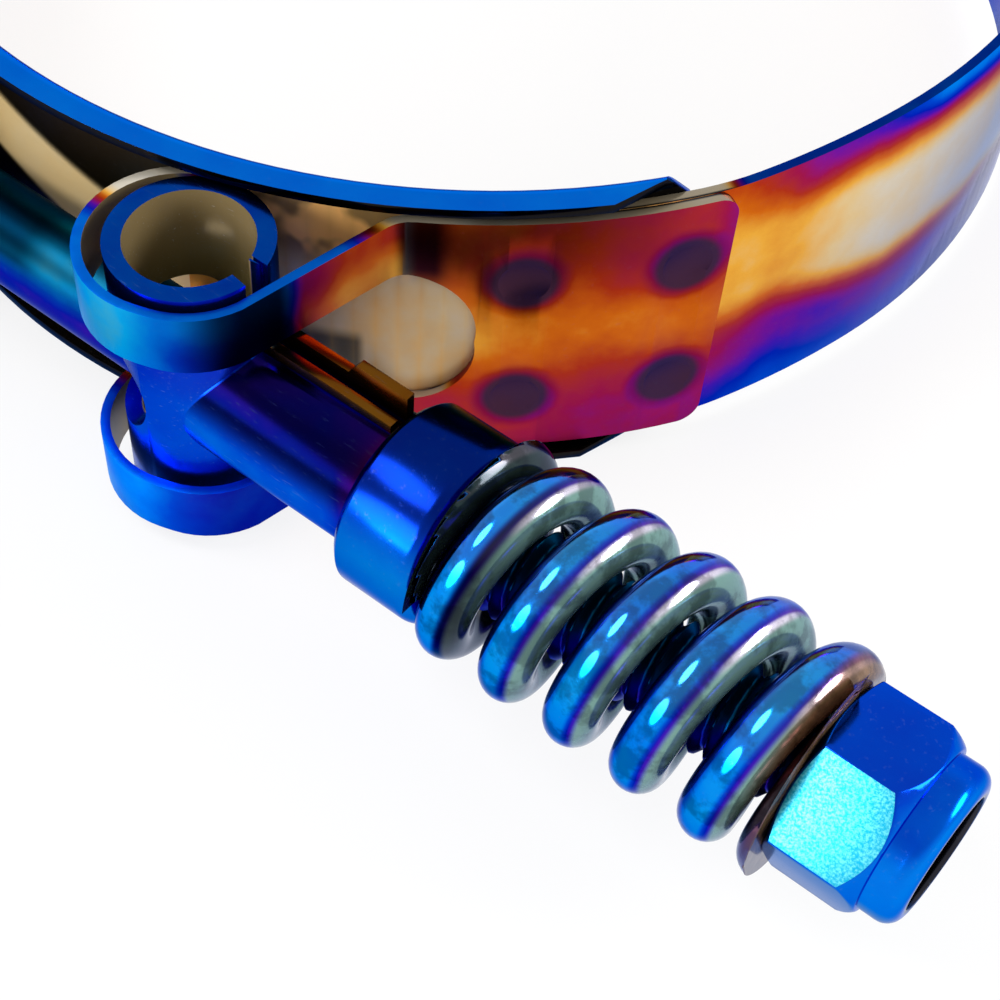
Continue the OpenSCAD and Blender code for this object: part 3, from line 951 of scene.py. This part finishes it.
def make_nut_steel():
    """The nut: blue, with one frosted face that carries a speckled painted highlight, a paler
    underside and painted shade in its bore.
    """
    material, build, shader = new_material("heat tinted nut")
    place = read_place(build)
    from_bolt = place["From bolt"]
    _, facing_across, facing_up = build.split(place["Facing"])
    across, up = (math.sin(math.radians(a)) for a in FROSTED_GLARE_FACE_ANGLES)
    toward = build.raised(build.times(facing_up, up), across, facing_across)
    # painted highlight: pale speckled cyan on the face towards the front lamp, which is also
    # rougher
    frosted_face_glare = build.times(build.span(toward, 0.965, 0.99), build.span(from_bolt, 4.7, 4.8))
    specks = read_wear(build, place)["Specks"]
    painted_glare = build.mix(specks, DEEP_GLARE, PALE_GLARE)
    heat = build.span(from_bolt, 4.2, 5.2, to=(0.77, 0.74))
    heat = build.minus(heat, build.span(facing_up, 0.5, 0.8, to=(0.0, 0.05)))
    under = build.span(facing_up, -0.05, -0.35, to=(0.0, 0.7))
    # painted shade inside the bore
    bore_shade = build.span(from_bolt, 3.75, 3.45)
    finish_steel(
        build,
        shader,
        heat,
        place,
        overlay=((under, NUT_UNDERSIDE), (frosted_face_glare, painted_glare), (bore_shade, BORE_SHADE_BLACK)),
        roughness=build.raised(0.12, 0.2, frosted_face_glare),
        speck=0.3,
        wander=0.04,
        bump=0.015,
    )
    return material


def make_bolt_steel():
    """The bolt: blue, and darkened nearly to black on its top by painted shade, most of all at
    its head.
    """
    material, build, shader = new_material("heat tinted bolt")
    place = read_place(build)
    heat = build.span(place["Height"], 0.3, 2.2, to=(0.60, 0.85))
    # painted shade on the bolt's top, deepest at its head
    top_shade = build.span(build.magnitude(place["Along"]), 2.0, 4.8, to=(0.04, 0.16))
    dim = build.blend(build.span(place["Height"], 0.4, 1.8), 0.8, top_shade)
    finish_steel(build, shader, heat, place, shade=dim, roughness=0.30)
    return material


DARK_NYLON, PALE_NYLON = (0.01, 0.012, 0.02), (0.03, 0.035, 0.06)


def make_nylon():
    """The lock ring: dark nylon with a faint grain."""
    material, build, shader = new_material("dark nylon")
    wear = read_wear(build, read_place(build))
    build.feed(shader.inputs["Base Color"], build.mix(wear["Clouds"], DARK_NYLON, PALE_NYLON))
    build.feed(shader.inputs["Roughness"], build.raised(0.4, 0.2, wear["Clouds"]))
    add_relief(build, shader, wear["Specks"], depth=0.02)
    return material


# ---------------------------------------------------------------- pieces
def dress(piece, body, material):
    piece.data.materials.clear()
    piece.data.materials.append(material)
    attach(piece, body)


for node, edge_width, body, slot, make_finish in (
    ("band", EDGE, "band", "band_steel", make_band_steel),
    ("liner", EDGE, "band", "liner_steel", make_liner_steel),
    ("trunnion_sleeve", EDGE, "trunnion", "trunnion_steel", make_trunnion_steel),
    ("spring_cap", EDGE, "trunnion", "cap_steel", make_cap_steel),
    ("lock_nut", EDGE, "nut", "nut_steel", make_nut_steel),
    ("nut_lock_ring", NYLON_EDGE, "nut", "nylon", make_nylon),
):
    dress(rounded_copy(node, edge_width), body, make_finish())

bolt = add_object("t_bolt_finished", make_bolt())
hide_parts("t_bolt")
dress(bolt, "t_bolt", make_bolt_steel())

spring = add_object("spring_finished", make_spring())
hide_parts("spring")
dress(spring, "spring", make_spring_steel())
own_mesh(spring)


# ---------------------------------------------------------------- studio
WHITE = (1, 1, 1, 1)
ROOM_LIGHT = 0.75
OVERHEAD_LIGHT = 0.8
OVERHEAD_RISE = (0.30, 0.62)
FLOOR_HALF = 3.0
FLOOR_GAP = 0.05 * MM
FLOOR_GREY = 0.86
FLOOR_GLOW = 0.8

LAMP_DISTANCE = 0.6
LAMP_TARGET = Vector((0.03, -0.045, 0.0))
# name, azimuth and elevation in degrees, width and height in metres, watts
LAMPS = (
    ("front lamp", -112, 21, (0.38, 0.30), 2.2),
    ("left lamp", -145, 56, (0.30, 0.22), 1.5),
    ("right lamp", 36, 25, (0.34, 0.22), 2.4),
)

VIEW_AZIMUTH, VIEW_ELEVATION, VIEW_ROLL = -49.279, 55.073, -0.286
CAMERA_PLACE = Vector((72.808, -96.608, 86.21)) * MM
SENSOR_WIDTH, FOCAL_LENGTH = 36.0, 70.28
CAMERA_SHIFT = (0.1372, 0.1006)
CAMERA_CLIP = (0.005, 10)


def direction(azimuth, elevation):
    """A unit vector from two angles in radians."""
    level = math.cos(elevation)
    return Vector((level * math.cos(azimuth), level * math.sin(azimuth), math.sin(elevation)))


def make_world():
    """Plain white where it is seen, a lit room as light, and dim overhead in reflections."""
    world = bpy.data.worlds.new("studio")
    world.use_nodes = True
    bpy.context.scene.world = world
    build = Tree(world.node_tree)
    background = world.node_tree.nodes["Background"]
    background.inputs["Color"].default_value = WHITE
    path = build.node("ShaderNodeLightPath").outputs
    _, _, rise = build.split(build.node("ShaderNodeTexCoord").outputs["Generated"])
    mirrored = build.span(rise, *OVERHEAD_RISE, to=(1.0, OVERHEAD_LIGHT))
    strength = build.blend(path["Is Glossy Ray"], ROOM_LIGHT, mirrored)
    seen = build.highest(path["Is Camera Ray"], path["Is Transmission Ray"])
    build.feed(background.inputs["Strength"], build.blend(seen, strength, 1.0))


def make_floor():
    """A pale floor that is nearly white where it is seen and still takes the clamp's shadow."""
    z = cad_low.z - FLOOR_GAP
    signs = ((-1, -1), (1, -1), (1, 1), (-1, 1))
    corners = [(a * FLOOR_HALF, b * FLOOR_HALF, z) for a, b in signs]
    mesh = bpy.data.meshes.new("floor")
    mesh.from_pydata(corners, [], [(0, 1, 2, 3)])
    floor = add_object("floor", mesh)
    material, build, shader = new_material("pale floor")
    shader.inputs["Base Color"].default_value = (FLOOR_GREY, FLOOR_GREY, FLOOR_GREY, 1)
    shader.inputs["Roughness"].default_value = 0.9
    shader.inputs["Specular IOR Level"].default_value = 0.0
    glow = build.node("ShaderNodeEmission")
    path = build.node("ShaderNodeLightPath").outputs
    seen = build.highest(path["Is Camera Ray"], path["Is Glossy Ray"])
    both = build.node("ShaderNodeMixShader")
    build.feed(both.inputs[0], build.times(seen, FLOOR_GLOW))
    build.feed(both.inputs[1], shader.outputs[0])
    build.feed(both.inputs[2], glow.outputs[0])
    build.feed(material.node_tree.nodes["Material Output"].inputs["Surface"], both.outputs[0])
    mesh.materials.append(material)


def add_lamp(name, azimuth, elevation, size, watts):
    """A soft oval lamp that stands in a direction from its target and points at it."""
    lamp = bpy.data.lights.new(name, "AREA")
    lamp.shape = "ELLIPSE"
    lamp.size, lamp.size_y = size
    lamp.energy = watts
    light = add_object(name, lamp)
    way = direction(math.radians(azimuth), math.radians(elevation))
    light.location = LAMP_TARGET + LAMP_DISTANCE * way
    light.rotation_mode = "QUATERNION"
    light.rotation_quaternion = way.to_track_quat("Z", "Y")


def make_camera():
    """The photograph's view: its place, its line of sight and its framing."""
    back = direction(math.radians(VIEW_AZIMUTH), math.radians(VIEW_ELEVATION))
    level = (-back).cross(Vector((0, 0, 1))).normalized()
    upright = level.cross(-back)
    roll = math.radians(VIEW_ROLL)
    right = math.cos(roll) * level + math.sin(roll) * upright
    up = math.cos(roll) * upright - math.sin(roll) * level
    turn = Matrix((right, up, back)).transposed()
    data = bpy.data.cameras.new("camera")
    data.sensor_width, data.lens = SENSOR_WIDTH, FOCAL_LENGTH
    data.shift_x, data.shift_y = CAMERA_SHIFT
    data.clip_start, data.clip_end = CAMERA_CLIP
    camera = add_object("camera", data)
    camera.matrix_world = Matrix.Translation(CAMERA_PLACE) @ turn.to_4x4()
    bpy.context.scene.camera = camera


make_world()
make_floor()
for lamp_values in LAMPS:
    add_lamp(*lamp_values)
make_camera()
bpy.context.scene.view_settings.view_transform = "Standard"
